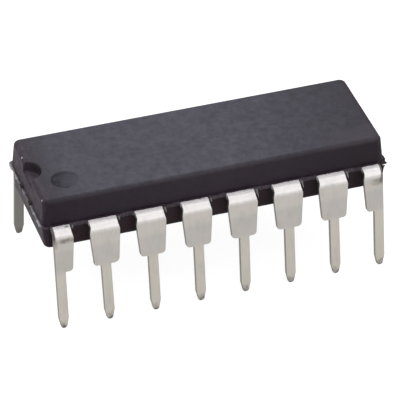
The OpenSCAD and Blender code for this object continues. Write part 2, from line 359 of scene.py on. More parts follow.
def make_flake(material):
    """The flake, thinner round its edge."""
    middle = Vector(FLAKE[0]).lerp(Vector(FLAKE[3]), 0.5)
    rings = []
    for side, share in ((-1, 0.8), (-0.5, 1.0), (0.5, 1.0), (1, 0.8)):
        y = FLAKE_Y + side * FLAKE_THICKNESS / 2
        rings.append([(p.x, y, p.y) for p in (middle.lerp(Vector(c), share) for c in FLAKE)])
    flake = to_object("flash_flake", loft(rings), material)
    smooth(flake, 40)
    belongs(flake, "resin", "package_body")


def web_section(reach, top, bottom, steps=7):
    """A web's section as (distance from the body's side along the strip, height from its middle)."""
    shares = [k / steps for k in range(1, steps + 1)]
    thin = [1 - 0.6 * share * held((reach - 0.2) / 0.3) for share in shares]
    upper = [((reach - 0.02) * share, top * t) for share, t in zip(shares, thin)]
    lower = [((reach - 0.03) * share, bottom * t) for share, t in zip(shares, thin)]
    edge = (reach, 0.3 * top * thin[-1])
    return [(-SIDE_FLASH_ROOT, top)] + upper + [edge] + lower[::-1] + [(-SIDE_FLASH_ROOT, bottom)]


def web_rings(row, gap):
    """Sections across the web of resin in one gap between two leads."""
    middle = (gap + 1 - LEADS_PER_ROW / 2) * LEAD_PITCH
    half_gap = (LEAD_PITCH - EXIT_WIDTH) / 2
    fin = FIN_REACH + rough(gap, row, 0.25, 3.7, 2)
    stub = STUB_REACH + rough(gap, row, 0.2, 3.7, 8)
    half = THICKNESS / 2 - WEB_SLACK
    rings = []
    for k in range(WEB_STEPS + 1):
        t = math.sin(math.pi * (k / WEB_STEPS - 0.5))
        x = middle + half_gap * t
        reach = SIDE_FLASH + rough(x, row, 0.05, 4.0, 21) + rough(x, row, 0.03, 13, 22)
        reach += fin * hill((1 + t) * half_gap, FIN_AT, FIN_WIDTH)
        reach += stub * math.exp(-(1 - t) * half_gap / FIN_WIDTH)
        top = half + rough(x, row, 0.02, 6, 23)
        bottom = -half + rough(x, row, 0.03, 6, 24)
        ring = []
        for w, n in web_section(reach, top, bottom):
            px, u, z = bend_point(x, BODY_SIDE + w - BEND_U, n)
            ring.append((px, row * u, z))
        rings.append(ring)
    return rings


def make_side_flash(name, row, material):
    """The trimmed webs of resin between the leads of one row, torn along the leads' bends."""
    whole = bmesh.new()
    for gap in range(LEADS_PER_ROW - 1):
        web = loft(web_rings(row, gap))
        bmesh.ops.recalc_face_normals(web, faces=web.faces)
        mesh = bpy.data.meshes.new("web")
        web.to_mesh(mesh)
        web.free()
        whole.from_mesh(mesh)
        bpy.data.meshes.remove(mesh)
    flash = to_object(name, whole, material)
    smooth(flash, 45)
    belongs(flash, "resin", "package_body")


# The leads, drawn flat in (x, v) with v along the strip from the start of its bend, then bent

# Where the strip begins to widen in its bend, and how its edge is eased at the shoulder and the foot
WIDENS_FROM = math.radians(50)
SHOULDER_EASE = ((-0.012, -0.05), (0, 0.03))
FOOT_EASE = 0.04

# Rounding of the strip's outer and inner edges
EDGE_ROUND = 0.045
BURR_ROUND = 0.02

# Cuts across the strip: how many over the bend, and the heights of those below it
BEND_CUTS = 14
CUT_HEIGHTS = (4.6, 3.9, 2.8, 2.2, 1.6, 1.0, 0.5, 0.25)

# How far up the tip is coined thin, and by what share
COINED_LENGTH = 0.22
COINED_SHARE = 0.45

# How far each leg of the front row leans along the row at its tip, and at the foot of its shoulder
LEG_SWAY = {1: (0.0, 0.0), 2: (0.0, -0.05), 3: (0.02, 0.0), 5: (-0.02, 0.01), 7: (0.015, 0.0)}
SWAY_RUN = 0.2


def lead_rank(number):
    """(row, end, rank): row -1 in front, end -1 at the notch, rank counts out from the middle."""
    row = -1 if number <= LEADS_PER_ROW else 1
    in_row = number if row < 0 else 2 * LEADS_PER_ROW + 1 - number
    place = in_row - (LEADS_PER_ROW + 1) / 2
    return row, (-1 if place < 0 else 1), round(abs(place) + 0.5)


def run_at(z):
    """The length along the strip at which its middle plane is at a height below the bend."""
    end_z = BEND_Z + BEND_MID * math.sin(SPLAY)
    return BEND_RUN + (end_z - z) / math.cos(SPLAY)


def half_outline(shouldered):
    """One edge of the lead from its root almost to its lowest point, as (x, v) with x positive."""
    edge = []
    if shouldered:
        edge.append((EXIT_WIDTH / 2, ROOT_U - BEND_U))
        edge.append((EXIT_WIDTH / 2, BEND_MID * WIDENS_FROM))
        edge += [(SHOULDER_WIDTH / 2 + x, run_at(BEND_Z) + v) for x, v in SHOULDER_EASE]
        corner = (FOOT_WIDTH / 2 - FOOT_RADIUS, LEG_LENGTH + FOOT_RADIUS)
        edge += [(x, run_at(z)) for x, z in arc(corner, FOOT_RADIUS, 0, -90, 8)]
        edge.append((LEG_WIDTH / 2 + FOOT_EASE, run_at(LEG_LENGTH)))
        edge.append((LEG_WIDTH / 2, run_at(LEG_LENGTH - FOOT_EASE)))
    else:
        edge.append((LEG_WIDTH / 2, ROOT_U - BEND_U))
    edge.append((LEG_WIDTH / 2, run_at(LOWEST + TIP_LENGTH)))
    radius = TIP_WIDTH / 2
    corner = Vector((LEG_WIDTH / 2, TIP_LENGTH - radius))
    tangent = math.degrees(math.atan2(corner.y, corner.x) - math.acos(radius / corner.length))
    round_end = arc((0, radius), radius, tangent, -90, 8)
    edge += [(x, run_at(LOWEST + z)) for x, z in round_end[:-1]]
    return edge


def finger_path(rank):
    """The middle line of the inner finger in plan, from its root inwards."""
    x = (rank - 0.5) * LEAD_PITCH
    elbow = ROOT_U - ELBOW_SHARE * (ROOT_U - WINDOW_U)
    step = FINGER_WIDTH + FINGER_GAP
    inner = (SPINE_WIDTH + FINGER_WIDTH) / 2 + FINGER_GAP
    if rank <= 2:
        return [(x, ROOT_U + LAP), (x, elbow), (SIDE_TIP_X[rank - 1], PAD_WIDTH / 2)]
    if rank == 3:
        return [(x, ROOT_U + LAP), (x, elbow - ELBOW_DROP), (PAD_LENGTH / 2, inner + step)]
    x -= (EXIT_WIDTH - LEG_WIDTH) / 4
    fork = BODY_LENGTH / 2 - FORK_FROM_END
    return [(x, ROOT_U + LAP), (x, elbow), (fork + LAP, TIE_SPACING / 2 + step + LAP),
            (fork - TIE_SPACING / 2 - SPINE_WIDTH, inner), (PAD_LENGTH / 2, inner)]


def finger_sides(rank):
    """The finger's two edges from root to tip, as (x, v) measured like the lead's."""
    path = [Vector((x - (rank - 0.5) * LEAD_PITCH, u - BEND_U)) for x, u in finger_path(rank)]
    right, left = [], []
    for k, point in enumerate(path):
        way = (path[min(k + 1, len(path) - 1)] - path[max(k - 1, 0)]).normalized()
        normal = Vector((-way.y, way.x))
        width = FINGER_WIDTH * (2 if k == 0 else 1)
        right.append(point + normal * width / 2)
        left.append(point - normal * width / 2)
    root = ROOT_U - BEND_U
    for side in (right, left):
        share = (side[0].y - root) / (side[0].y - side[1].y)
        side[0] = side[0].lerp(side[1], share)
    return [tuple(p) for p in right], [tuple(p) for p in left]


def inset(outline, distance):
    """The outline moved inwards, for a counter-clockwise outline."""
    moved = []
    for k, point in enumerate(outline):
        p = Vector(point)
        before = (p - Vector(outline[k - 1])).normalized()
        after = (Vector(outline[(k + 1) % len(outline)]) - p).normalized()
        n1, n2 = Vector((before.y, -before.x)), Vector((after.y, -after.x))
        moved.append(p - (n1 + n2) / (1 + n1.dot(n2)) * distance)
    return moved


def bend_point(x, v, n):
    """From the flat strip to (x, u, z), with n measured from the strip's middle plane."""
    if v <= 0:
        return x, BEND_U + v, FRAME_Z + n
    if v < BEND_RUN:
        a = math.pi / 2 - v / BEND_MID
        return x, BEND_U + (BEND_MID + n) * math.cos(a), BEND_Z + (BEND_MID + n) * math.sin(a)
    far = v - BEND_RUN
    u = BEND_U + (BEND_MID + n) * math.cos(SPLAY) + far * math.sin(SPLAY)
    return x, u, BEND_Z + (BEND_MID + n) * math.sin(SPLAY) - far * math.cos(SPLAY)


def edge_profile(steps=4):
    """(inset, height) round the edge of the strip, from its inner to its outer face."""
    angles = [math.pi / 2 * k / steps for k in range(steps + 1)]
    low, high = -THICKNESS / 2, THICKNESS / 2
    burr = [(BURR_ROUND * (1 - math.sin(a)), low + BURR_ROUND * (1 - math.cos(a))) for a in angles]
    edge = [(EDGE_ROUND * (1 - math.cos(a)), high - EDGE_ROUND * (1 - math.sin(a))) for a in angles]
    return burr + edge


def slice_mesh(bm, at, normal, clear=False):
    """Cuts the mesh along a plane, and with clear takes away what lies behind it."""
    everything = bm.verts[:] + bm.edges[:] + bm.faces[:]
    bmesh.ops.bisect_plane(bm, geom=everything, dist=1e-6, plane_co=at, plane_no=normal,
                           clear_inner=clear)


def flat_lead(rank):
    """The lead as a flat strip with rounded edges, cut across so that it can bend, and with its
    finger trimmed at the window round the die pad."""
    right, left = finger_sides(rank)
    outer = half_outline(rank < LEADS_PER_ROW // 2)
    inner = half_outline(True)
    outline = list(reversed(right)) + outer + [(0, run_at(LOWEST))]
    outline += [(-x, v) for x, v in reversed(inner)] + left
    bm = loft([[(p.x, p.y, n) for p in inset(outline, d)] for d, n in edge_profile()])
    bm.normal_update()
    large = [f for f in bm.faces if len(f.verts) > 4]
    bmesh.ops.triangulate(bm, faces=large, ngon_method="EAR_CLIP")
    bends = [BEND_RUN * k / BEND_CUTS for k in range(BEND_CUTS + 1)]
    for v in bends + [run_at(z) for z in CUT_HEIGHTS]:
        slice_mesh(bm, (0, v, 0), (0, 1, 0))
    if rank <= 2:
        slice_mesh(bm, (0, WINDOW_U - BEND_U, 0), (0, 1, 0), clear=True)
    else:
        slice_mesh(bm, (WINDOW_X - (rank - 0.5) * LEAD_PITCH, 0, 0), (1, 0, 0), clear=True)
    bmesh.ops.holes_fill(bm, edges=bm.edges[:], sides=0)
    return bm


def make_lead(number, material):
    """One lead, bent, with its tip coined and its leg a little out of line."""
    row, end, rank = lead_rank(number)
    bm = flat_lead(rank)
    tip_sway, foot_sway = LEG_SWAY.get(number, (rough(number, 0, 0.03, 1.7, 4), 0.0))
    foot_v, tip_v = run_at(LEG_LENGTH), run_at(0)
    for vert in bm.verts:
        x, v, n = vert.co
        coined = held((v - tip_v + COINED_LENGTH) / COINED_LENGTH)
        x, u, z = bend_point(x, v, n * (1 - COINED_SHARE * coined ** 2))
        down = held((v - foot_v) / (tip_v - foot_v))
        begun = held((v - foot_v + SWAY_RUN) / SWAY_RUN)
        sway = (foot_sway * (1 - down) + tip_sway * down) * begun
        vert.co = (end * (x + (rank - 0.5) * LEAD_PITCH) + sway, row * u, z)
    lead = to_object("tinned_lead_%02d" % number, bm, material)
    smooth(lead, 50)
    belongs(lead, "tinned_lead", "lead_%d" % number)


# Materials

class Nodes:
    """A short way to write a node tree. Places are in millimetres."""

    def __init__(self, name):
        self.material = bpy.data.materials.new(name)
        self.material.use_nodes = True
        self.tree = self.material.node_tree
        self.shader = self.tree.nodes["Principled BSDF"]
        coordinates = self.tree.nodes.new("ShaderNodeTexCoord").outputs["Object"]
        self.mm = self.math_vector("SCALE", coordinates, 1 / MM)

    def plug(self, socket, value):
        if isinstance(value, bpy.types.NodeSocket):
            self.tree.links.new(value, socket)
        else:
            socket.default_value = value

    def math_vector(self, operation, a, b):
        node = self.tree.nodes.new("ShaderNodeVectorMath")
        node.operation = operation
        self.plug(node.inputs[0], a)
        self.plug(node.inputs[3 if operation == "SCALE" else 1], b)
        return node.outputs[0]

    def math(self, operation, a, b=0.0, clamp=False):
        node = self.tree.nodes.new("ShaderNodeMath")
        node.operation = operation
        node.use_clamp = clamp
        self.plug(node.inputs[0], a)
        self.plug(node.inputs[1], b)
        return node.outputs[0]

    def times(self, a, b, clamp=False):
        return self.math("MULTIPLY", a, b, clamp)

    def noise(self, scale, detail, roughness, stretch=None, seed=0.0):
        """Noise from 0 to 1, with its scale in features per millimetre."""
        node = self.tree.nodes.new("ShaderNodeTexNoise")
        node.noise_dimensions = "4D"
        where = self.mm if stretch is None else self.math_vector("MULTIPLY", self.mm, stretch)
        self.plug(node.inputs["Vector"], where)
        node.inputs["Scale"].default_value = scale
        node.inputs["Detail"].default_value = detail
        node.inputs["Roughness"].default_value = roughness
        node.inputs["W"].default_value = seed
        return node.outputs[0]

    def ramp(self, value, low, high, from_low=0.0, from_high=1.0):
        """Value taken from one range to another, and held at its ends."""
        node = self.tree.nodes.new("ShaderNodeMapRange")
        self.plug(node.inputs["Value"], value)
        node.inputs["From Min"].default_value = from_low
        node.inputs["From Max"].default_value = from_high
        node.inputs["To Min"].default_value = low
        node.inputs["To Max"].default_value = high
        return node.outputs[0]

    def mix(self, factor, a, b):
        node = self.tree.nodes.new("ShaderNodeMix")
        node.data_type = "RGBA"
        self.plug(node.inputs[0], factor)
        self.plug(node.inputs[6], a)
        self.plug(node.inputs[7], b)
        return node.outputs[2]

    def axis(self, name):
        node = self.tree.nodes.new("ShaderNodeSeparateXYZ")
        self.plug(node.inputs[0], self.mm)
        return node.outputs[name]

    def off_middle(self, name):
        """The distance from the part's middle along one axis."""
        return self.math("ABSOLUTE", self.axis(name))

    def blob(self, centre, size):
        """1 round a place, falling to 0 at the size's distance from it."""
        away = self.math_vector("SUBTRACT", self.mm, centre)
        away = self.math_vector("DIVIDE", away, size)
        node = self.tree.nodes.new("ShaderNodeVectorMath")
        node.operation = "LENGTH"
        self.plug(node.inputs[0], away)
        return self.ramp(node.outputs["Value"], 1, 0, 0.3, 1)

    def bump(self, height, distance_mm, normal=None):
        node = self.tree.nodes.new("ShaderNodeBump")
        node.inputs["Strength"].default_value = 1.0
        node.inputs["Distance"].default_value = distance_mm * MM
        self.plug(node.inputs["Height"], height)
        if normal is not None:
            self.plug(node.inputs["Normal"], normal)
        return node.outputs[0]

    def rounded_edges(self, radius_mm):
        """The normal, rounded over where faces meet at an edge."""
        node = self.tree.nodes.new("ShaderNodeBevel")
        node.samples = 4
        node.inputs["Radius"].default_value = radius_mm * MM
        return node.outputs[0]

    def facing(self, name):
        """One part of the true normal, without bumps."""
        node = self.tree.nodes.new("ShaderNodeSeparateXYZ")
        self.plug(node.inputs[0], self.tree.nodes.new("ShaderNodeTexCoord").outputs["Normal"])
        return node.outputs[name]

    def set(self, **values):
        for name, value in values.items():
            self.plug(self.shader.inputs[name.replace("_", " ")], value)


def rgb(r, g, b):
    return (r, g, b, 1.0)


# The moulding compound

RESIN = {
    "top_dark": rgb(0.012, 0.0115, 0.021),
    "top_light": rgb(0.020, 0.0195, 0.033),
    "top_specks": rgb(0.055, 0.052, 0.068),
    "near_end": rgb(0.012, 0.0075, 0.011),
    "end_dark": rgb(0.013, 0.004, 0.009),
    "end_light": rgb(0.055, 0.033, 0.050),
    "rim_painted_shade": rgb(0.012, 0.008, 0.013),
    "scuff": rgb(0.12, 0.11, 0.12),
    "side_dark": rgb(0.005, 0.001, 0.005),
    "side_light": rgb(0.013, 0.006, 0.013),
    "low_side": rgb(0.017, 0.005, 0.010),
    "far_half_falloff_shade": rgb(0.013, 0.009, 0.012),
    "rubbed": rgb(0.036, 0.029, 0.038),
    "mark": rgb(0.006, 0.005, 0.009),
    "notch_floor_light": rgb(0.075, 0.062, 0.078),
    "notch_wall_shade": rgb(0.006, 0.002, 0.005),
    # the tone of the glints painted on the rim
    "chip": rgb(0.5, 0.48, 0.5),
}

# Between these distances from the middle, the end faces and the side faces take over from the top
END_FACES = (8.95, 9.3)
SIDE_FACES = (BODY_SIDE - 0.4, BODY_SIDE - 0.15)

# Along X, from full to none: the dull top and the scuffs near the notch end, and the painted shade
# that dims the highlight on the rim there
DULL_TOP = (-9.2, -7.4)
SCUFFS = (-8.6, -5.4)
PAINTED_RIM_SHADE = (-9.2, -9.1)

# Pale spots painted on the rim at the notch end as glints, and their size
RIM_GLINTS = ((-9.35, 1.34, 7.22), (-9.39, -2.64, 7.16))
RIM_GLINT_SIZE = (0.08, 0.08, 0.08)

# The rubbed front corner of the far end, and how far the rubbing reaches
RUBBED_AT = (9.1, -2.6, BODY_TOP)
RUBBED_SIZE = (3.6, 1.4, 1.6)

# The painted shade of the round mark, and the side of it that catches the light
MARK_SHADE_SIZE = (1.1, 1.1, 0.6)
LIT_SIDE_AT = (MARK_X + 0.42, MARK_Y + 0.05, BODY_TOP)
LIT_SIDE_SIZE = (1.3, 1.3, 0.6)

# The notch: the painted shade of its wall, the painted light on its floor, and where the end face cuts
# them off
NOTCH_SHADE_AT = (-BODY_LENGTH / 2, 0, BODY_TOP - 0.2)
NOTCH_SHADE_SIZE = (1.4, 1.4, 1.2)
NOTCH_FLOOR_AT = (-9.1, 0, BODY_TOP - NOTCH_DEPTH)
NOTCH_FLOOR_SIZE = (1.0, 1.1, 0.3)
NOTCH_INSIDE = (-9.38, -9.28)


def mark_shade(m, mottle):
    """How far the round mark is darkened: its own darker, uneven tone, with painted shade most on the
    side away from the light.
    """
    in_mark = m.ramp(m.blob((MARK_X, MARK_Y, BODY_TOP), MARK_SHADE_SIZE), 0, 1, 0.36, 0.64)
    lit_side = m.blob(LIT_SIDE_AT, LIT_SIDE_SIZE)
    shaded = m.times(in_mark, m.ramp(lit_side, 1.45, 0.5, 0.25, 0.85))
    return m.times(shaded, m.ramp(mottle, 0.35, 1.1, 0.4, 0.58), clamp=True)


def notch_shades(m):
    """How far painted light brightens the notch's floor and painted shade darkens its wall."""
    inside = m.ramp(m.axis("X"), 0, 1, *NOTCH_INSIDE)
    floor = m.ramp(m.blob(NOTCH_FLOOR_AT, NOTCH_FLOOR_SIZE), 0, 0.5, 0, 0.3)
    wall = m.ramp(m.blob(NOTCH_SHADE_AT, NOTCH_SHADE_SIZE), 0, 1, 0.1, 0.3)
    wall = m.times(wall, m.ramp(m.facing("Z"), 1, 0, 0.4, 0.8))
    return m.times(floor, inside), m.times(wall, inside)


def rubbed_corner(m, mottle):
    """How far the top is rubbed paler at the front corner of the far end."""
    patches = m.ramp(mottle, 0.5, 1.2, 0.36, 0.64)
    rubbed = m.times(m.blob(RUBBED_AT, RUBBED_SIZE), patches, clamp=True)
    return m.times(rubbed, m.ramp(m.axis("Z"), 0, 1, BODY_TOP - 0.22, BODY_TOP - 0.05))


def painted_rim_glints(m):
    """How far the glints painted on the rim make its spots pale."""
    glint_sum = 0.0
    for chip in RIM_GLINTS:
        glint_sum = m.math("ADD", glint_sum, m.blob(chip, RIM_GLINT_SIZE))
    return m.math("MINIMUM", glint_sum, 0.9)


def resin_material():
    """Matte moulding compound: mottled and bluish on top, duller and scuffed towards the notch,
    purplish on its sides with painted shade keeping them dark, brownish and blotched at its ends,
    with painted shade on the rim at the notch end and a painted falloff darkening the top towards
    the far end, dark in the round mark with painted shade on its side away from the light, with
    painted shade on the wall of the notch and painted light on its floor, rubbed paler at one
    corner, and with two pale glints painted on the rim."""
    m = Nodes("moulding_resin")
    clouds = m.noise(0.45, 5, 0.62)
    mottle = m.noise(2.3, 6, 0.72, seed=2.0)
    grain = m.noise(8.0, 4, 0.7, seed=3.0)
    blotches = m.noise(3.1, 5, 0.72, seed=12.0)
    along = m.axis("X")
    height = m.axis("Z")
    ends = m.ramp(m.off_middle("X"), 0, 1, *END_FACES)
    sides = m.ramp(m.off_middle("Y"), 0, 1, *SIDE_FACES)
    low_side = m.times(m.ramp(height, 1, 0, FRAME_Z - 0.3, FRAME_Z - 0.05), sides)
    near_end = m.times(m.ramp(along, 0.85, 0, *DULL_TOP), m.ramp(ends, 1, 0))
    rim_painted_shade = m.times(m.ramp(along, 1, 0, *PAINTED_RIM_SHADE), m.ramp(height, 0, 1, 7.0, 7.15))
    scuffed = m.times(m.ramp(along, 1, 0, *SCUFFS), m.ramp(grain, 0, 1, 0.56, 0.72))
    in_mark = mark_shade(m, mottle)
    notch_floor_light, notch_wall_shade = notch_shades(m)

    tone = m.mix(m.ramp(clouds, 0, 1, 0.35, 0.65), RESIN["top_dark"], RESIN["top_light"])
    tone = m.mix(m.ramp(mottle, 0, 1, 0.38, 0.66), tone, RESIN["top_specks"])
    tone = m.mix(near_end, tone, RESIN["near_end"])
    stained = m.mix(m.ramp(blotches, 0, 1, 0.38, 0.64), RESIN["end_dark"], RESIN["end_light"])
    tone = m.mix(m.times(ends, 0.85), tone, stained)
    # Painted shade: the rounded rim at the notch end is darkened to dim the highlight it catches
    tone = m.mix(m.times(rim_painted_shade, 0.28), tone, RESIN["rim_painted_shade"])
    tone = m.mix(m.times(scuffed, 0.45), tone, RESIN["scuff"])
    # The sides: the resin's purplish tone, darkened further as painted shade so that the side walls
    # stay darker than the top
    purple = m.mix(m.ramp(mottle, 0, 1, 0.36, 0.66), RESIN["side_dark"], RESIN["side_light"])
    tone = m.mix(m.times(sides, 0.95), tone, purple)
    tone = m.mix(low_side, tone, RESIN["low_side"])
    # Painted shade: the top darkens towards the far end, standing in for the light falling off there
    tone = m.mix(m.ramp(along, 0, 0.5, 2, 9), tone, RESIN["far_half_falloff_shade"])
    tone = m.mix(rubbed_corner(m, mottle), tone, RESIN["rubbed"])
    # The round mark: its darker tone, with painted shade on the side away from the light
    tone = m.mix(m.times(in_mark, 0.9), tone, RESIN["mark"])
    # Painted light on the notch's floor and painted shade on its wall
    tone = m.mix(notch_floor_light, tone, RESIN["notch_floor_light"])
    tone = m.mix(m.times(notch_wall_shade, 0.42), tone, RESIN["notch_wall_shade"])
    # Painted glints: two pale spots on the rim at the notch end
    tone = m.mix(painted_rim_glints(m), tone, RESIN["chip"])

    uneven = m.ramp(mottle, -0.08, 0.08, 0.35, 0.65)
    matte = m.math("ADD", m.ramp(clouds, 0.48, 0.56, 0.3, 0.7), uneven)
    matte = m.math("ADD", matte, m.times(ends, 0.1))
    m.set(Base_Color=tone, Roughness=matte, IOR=1.5)

    # The gloss also falls off towards the far end, with the painted falloff of light
    gloss = m.times(m.ramp(along, 0.3, 0.2, 1.0, 9.3), m.ramp(along, 0.82, 1, -9, 0))
    gloss = m.times(gloss, m.ramp(ends, 1, 1.12))
    gloss = m.times(gloss, m.ramp(near_end, 1, 0.87, 0, 0.85))
    for place, share in ((in_mark, 0.56), (rim_painted_shade, 0.9), (low_side, 0.78), (notch_wall_shade, 0.88)):
        gloss = m.times(gloss, m.ramp(place, 1, share))
    m.set(Specular_IOR_Level=gloss)

    coarse = m.bump(mottle, 0.022, normal=m.rounded_edges(0.08))
    m.set(Normal=m.bump(grain, 0.012, normal=coarse))
    return m.material


# The torn resin of the flash

# From none to full by distance from the middle: the pale torn edges beside the leads, a painted
# highlight for the light they catch, and the wear of the notch end's edge away from its middle.
# Along X: that edge, from full to none, and the far end
TORN_EDGE_HIGHLIGHT = (BODY_SIDE + 0.15, BODY_SIDE + 0.24)
WORN_OUTWARDS = (1.0, 2.0)
WORN_EDGE = (-9.64, -9.54)
FAR_FLASH = (9.0, 9.2)

FLASH = {
    "dark": rgb(0.018, 0.010, 0.016),
    "light": rgb(0.062, 0.045, 0.060),
    "torn": rgb(0.16, 0.16, 0.155),
    "worn": rgb(0.5, 0.48, 0.5),
    "grain": rgb(0.05, 0.045, 0.05),
    "far_end": rgb(0.006, 0.003, 0.006),
}


def flash_material():
    """Thin, torn resin at the parting plane: dark by the body, reddish in places, pale with a painted
    highlight where it is torn beside the leads, pale where it is worn along its edge at the notch
    end, and dark at the far end."""
    m = Nodes("resin_flash")
    chips = m.noise(3.2, 4, 0.65, seed=1.0)
    grain = m.noise(14.0, 4, 0.7, seed=3.0)
    torn = m.ramp(m.off_middle("Y"), 0, 1, *TORN_EDGE_HIGHLIGHT)
    worn = m.ramp(m.noise(1.6, 3, 0.6, seed=15.0), 0.4, 1, 0.35, 0.6)
    worn = m.times(worn, m.ramp(m.axis("X"), 1, 0, *WORN_EDGE))
    worn = m.times(worn, m.ramp(m.off_middle("Y"), 0.5, 1, *WORN_OUTWARDS))
    far_end = m.ramp(m.axis("X"), 0, 1, *FAR_FLASH)
    tone = m.mix(m.ramp(chips, 0, 1, 0.42, 0.62), FLASH["dark"], FLASH["light"])
    # Painted highlight: the torn edges beside the leads are pale, for the light they catch
    tone = m.mix(m.times(torn, 0.85), tone, FLASH["torn"])
    tone = m.mix(m.times(worn, 0.9), tone, FLASH["worn"])
    tone = m.mix(m.ramp(grain, 0, 0.5, 0.5, 0.8), tone, FLASH["grain"])
    tone = m.mix(m.times(far_end, 0.85), tone, FLASH["far_end"])
    m.set(Base_Color=tone, Roughness=m.ramp(grain, 0.35, 0.6, 0.3, 0.7))
    m.set(Specular_IOR_Level=m.ramp(far_end, 0.4, 0.22))
    m.set(Normal=m.bump(chips, 0.03, normal=m.bump(grain, 0.01)))
    return m.material


# The tin plating

TIN = {
    "cool": rgb(0.46, 0.46, 0.42),
    "warm": rgb(0.52, 0.485, 0.455),
    "leg": rgb(0.54, 0.50, 0.43),
    "upper_plate": rgb(0.55, 0.505, 0.46),
    "lower_plate": rgb(0.41, 0.378, 0.364),
    "end_plates": rgb(0.38, 0.365, 0.345),
    # the bends' tone is brightened as a painted highlight, and the crest's is a painted dip in it
    "bend": rgb(0.575, 0.555, 0.545),
    "crest": rgb(0.49, 0.475, 0.485),
    "lines": rgb(0.4, 0.385, 0.36),
    "smudges": rgb(0.36, 0.35, 0.33),
    "stain": rgb(0.14, 0.11, 0.09),
    "inner_face_shade": rgb(0.15, 0.146, 0.138),
    "sheared": rgb(0.12, 0.115, 0.11),
    "exit": rgb(0.88, 0.86, 0.88),
    "exit_body_reflection": rgb(0.64, 0.62, 0.65),
    "exit_mark": rgb(0.16, 0.15, 0.16),
    "resin_film": rgb(0.022, 0.012, 0.017),
    "rim_film": rgb(0.05, 0.038, 0.04),
    "tip": rgb(0.14, 0.137, 0.134),
    "very_end": rgb(0.06, 0.058, 0.057),
}

# Heights between which one tone gives way to the next, from the leg up to the bend
LEG_Z = (3.1, 3.7)
END_FOOT_Z = (3.2, 3.6)
FOOT_Z = (3.3, 3.6)
LOWER_PLATE_Z = (4.5, 4.75)
UPPER_PLATE_Z = (4.55, 4.85)
BEND_START_Z = (BEND_Z - 0.02, BEND_Z + 0.08)
CREST_Z = BEND_Z + 0.31

# Distances from the middle: the duller end leads, and the flat exits by the body
END_LEADS = (7.4, 8.4)
EXITS = (BODY_SIDE + 0.26, BODY_SIDE + 0.4)

# How far a film of resin reaches over a lead where it leaves the body
BLEED = 0.14

# Where resin also covers the outer edges of the four end leads over their bends
RIM_FILM_X = 9.03

# A dark spot where lead 1 leaves the body, and its size
EXIT_SPOT = (-8.33, -3.52, 5.845)
EXIT_SPOT_SIZE = (0.16, 0.12, 0.1)

# Brown stains on the bends of leads 1 and 8, as (place, size)
STAINS = (
    ((-9.06, -3.92, 5.17), (0.15, 0.3, 0.4)),
    ((-8.26, -3.92, 5.28), (0.34, 0.3, 0.22)),
    ((-8.6, -3.92, 5.25), (0.4, 0.3, 0.2)),
    ((8.86, -3.92, 5.15), (0.5, 0.3, 0.28)),
    ((9.07, -3.92, 5.22), (0.16, 0.3, 0.4)),
)


def tin_by_height(m, clouds, height):
    """Cloudy tin: warm on the legs, darker low on the plates and on the end leads, brighter and cooler
    over the bends as a painted highlight, with a greyer painted dip along their crests that
    flattens the highlight's peak."""
    tone = m.mix(m.ramp(clouds, 0, 1, 0.35, 0.65), TIN["cool"], TIN["warm"])
    tone = m.mix(m.times(m.ramp(height, 1, 0, *LEG_Z), 0.7), tone, TIN["leg"])
    tone = m.mix(m.ramp(height, 0, 0.5, *UPPER_PLATE_Z), tone, TIN["upper_plate"])
    lower_plate = m.times(m.ramp(height, 0.3, 0, *LOWER_PLATE_Z), m.ramp(height, 0, 1, *FOOT_Z))
    tone = m.mix(lower_plate, tone, TIN["lower_plate"])
    end_leads = m.ramp(m.off_middle("X"), 0, 0.2, *END_LEADS)
    tone = m.mix(m.times(end_leads, m.ramp(height, 0, 1, *END_FOOT_Z)), tone, TIN["end_plates"])
    # Painted highlight: the bends are brighter and cooler, with a greyer painted dip along the crest
    # to flatten its peak
    tone = m.mix(m.ramp(height, 0, 1, *BEND_START_Z), tone, TIN["bend"])
    off_crest = m.math("ABSOLUTE", m.math("SUBTRACT", height, CREST_Z))
    return m.mix(m.ramp(off_crest, 0.8, 0, 0.03, 0.1), tone, TIN["crest"])


def tin_wear(m, tone, lines):
    """Rolling lines, smudges and the brown stains."""
    smudges = m.noise(2.4, 4, 0.65, stretch=(1.0, 1.0, 0.5), seed=5.0)
    tone = m.mix(m.ramp(lines, 0, 0.3, 0.45, 0.75), tone, TIN["lines"])
    tone = m.mix(m.ramp(smudges, 0.35, 0, 0.3, 0.45), tone, TIN["smudges"])
    patches = m.noise(4.2, 4, 0.65, stretch=(0.6, 1.0, 1.4), seed=17.0)
    patches = m.ramp(patches, 0.3, 1, 0.38, 0.58)
    for place, size in STAINS:
        stain = m.times(m.blob(place, size), patches)
        tone = m.mix(m.times(stain, 0.75), tone, TIN["stain"])
    return tone


def tin_by_facing(m, tone, height):
    """Painted shade on the faces towards the other row, and dark sheared edges below the bends."""
    # Painted shade: faces turned towards the other row are darkened, for the shaded underside of the
    # body that they reflect
    inward = m.times(m.facing("Y"), m.math("SIGN", m.axis("Y")))
    dull = m.ramp(inward, 1, 0, -0.75, -0.3)
    tone = m.mix(m.times(dull, 0.8), tone, TIN["inner_face_shade"])
    down = m.times(m.facing("Z"), -1.0)
    sheared = m.math("MAXIMUM", m.math("ABSOLUTE", m.facing("X")), down)
    sheared = m.ramp(sheared, 0, 1, 0.35, 0.8)
    below = m.ramp(height, 1, 0, BEND_Z + 0.2, BEND_Z + 0.45)
    return m.mix(m.times(sheared, m.times(below, 0.65)), tone, TIN["sheared"])


